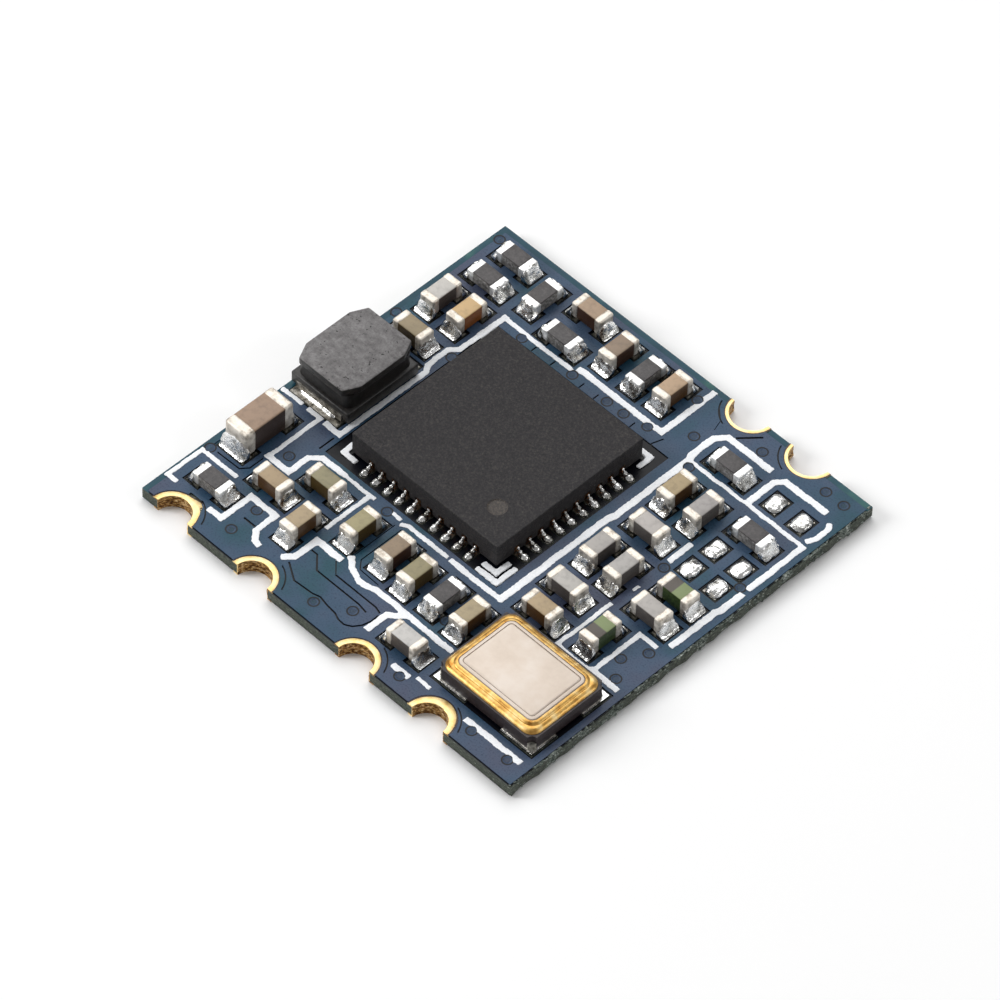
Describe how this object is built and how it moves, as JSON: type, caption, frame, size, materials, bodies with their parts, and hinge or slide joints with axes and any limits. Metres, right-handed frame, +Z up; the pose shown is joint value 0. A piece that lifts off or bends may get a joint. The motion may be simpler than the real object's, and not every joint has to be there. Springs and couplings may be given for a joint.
{
  "type": "wireless radio module",
  "caption": "Thin square castellated circuit board with a leadless radio chip, sealed crystal, drum-core inductor and rows of small chip capacitors and resistors; solders flat to a host board",
  "frame": {"origin": "middle of the board's outline, on the underside that lies on the host board", "axes": "+X along the longer side towards the snapped edge, +Y towards the edge with the shorter row of half holes, +Z up through the parts"},
  "size_m": [0.0126, 0.0124, 0.0015],
  "materials": {
    "fibreglass": "glass-fibre epoxy, sawn and snapped edges",
    "copper": "bare copper, satin",
    "solder_mask": "slate-blue solder mask, satin gloss",
    "legend_ink": "white printed ink, matt, slightly rough edges",
    "gold_plate": "thin gold over nickel, soft gloss",
    "chip_epoxy": "charcoal moulding, matt, finely speckled",
    "tinned_copper": "tinned metal, bright",
    "silicon": "polished silicon, hidden",
    "crystal_ceramic": "dark brown fired ceramic, satin",
    "quartz": "clear quartz, hidden",
    "crystal_lid_metal": "plated lid, warm silver, fine brushed",
    "ferrite": "grey ferrite, matt, speckled",
    "black_resin": "black resin, glossy",
    "capacitor_ceramic": "fired ceramic between plated ends, tan to grey",
    "resistor_glaze": "black glaze on white ceramic, plated ends",
    "green_ceramic": "green ceramic with a dark band, plated ends",
    "solder": "reflowed solder, bright with fine ripples"
  },
  "bodies": {
    "root": {"board_core": "fibreglass", "top_copper": "copper", "bottom_copper": "copper", "top_mask": "solder_mask", "bottom_mask": "solder_mask", "top_legend": "legend_ink", "edge_contacts": "gold_plate", "via_barrels": "copper", "chip_moulding": "chip_epoxy", "chip_leads": "tinned_copper", "chip_ground_pad": "tinned_copper", "chip_die": "silicon", "crystal_base": "crystal_ceramic", "crystal_lands": "tinned_copper", "crystal_blank": "quartz", "crystal_seal_ring": "gold_plate", "crystal_lid": "crystal_lid_metal", "drum_core": "ferrite", "drum_winding": "copper", "drum_resin": "black_resin", "drum_terminals": "tinned_copper", "bulk_capacitor": "capacitor_ceramic", "small_part_solder": "solder", "chip_solder": "solder", "crystal_solder": "solder", "bare_land_solder": "solder", "capacitor_01": "capacitor_ceramic", "capacitor_02": "capacitor_ceramic", "capacitor_03": "capacitor_ceramic", "capacitor_04": "capacitor_ceramic", "capacitor_05": "capacitor_ceramic", "capacitor_06": "capacitor_ceramic", "capacitor_07": "capacitor_ceramic", "capacitor_08": "capacitor_ceramic", "capacitor_09": "capacitor_ceramic", "capacitor_10": "capacitor_ceramic", "capacitor_11": "capacitor_ceramic", "capacitor_12": "capacitor_ceramic", "capacitor_13": "capacitor_ceramic", "capacitor_14": "capacitor_ceramic", "capacitor_15": "capacitor_ceramic", "capacitor_16": "capacitor_ceramic", "capacitor_17": "capacitor_ceramic", "capacitor_18": "capacitor_ceramic", "capacitor_19": "capacitor_ceramic", "capacitor_20": "capacitor_ceramic", "capacitor_21": "capacitor_ceramic", "capacitor_22": "capacitor_ceramic", "resistor_01": "resistor_glaze", "resistor_02": "resistor_glaze", "resistor_03": "resistor_glaze", "resistor_04": "resistor_glaze", "resistor_05": "resistor_glaze", "resistor_06": "resistor_glaze", "resistor_07": "resistor_glaze", "resistor_08": "resistor_glaze", "resistor_09": "resistor_glaze", "chip_inductor_01": "green_ceramic", "chip_inductor_02": "green_ceramic"}
  },
  "joints": []
}
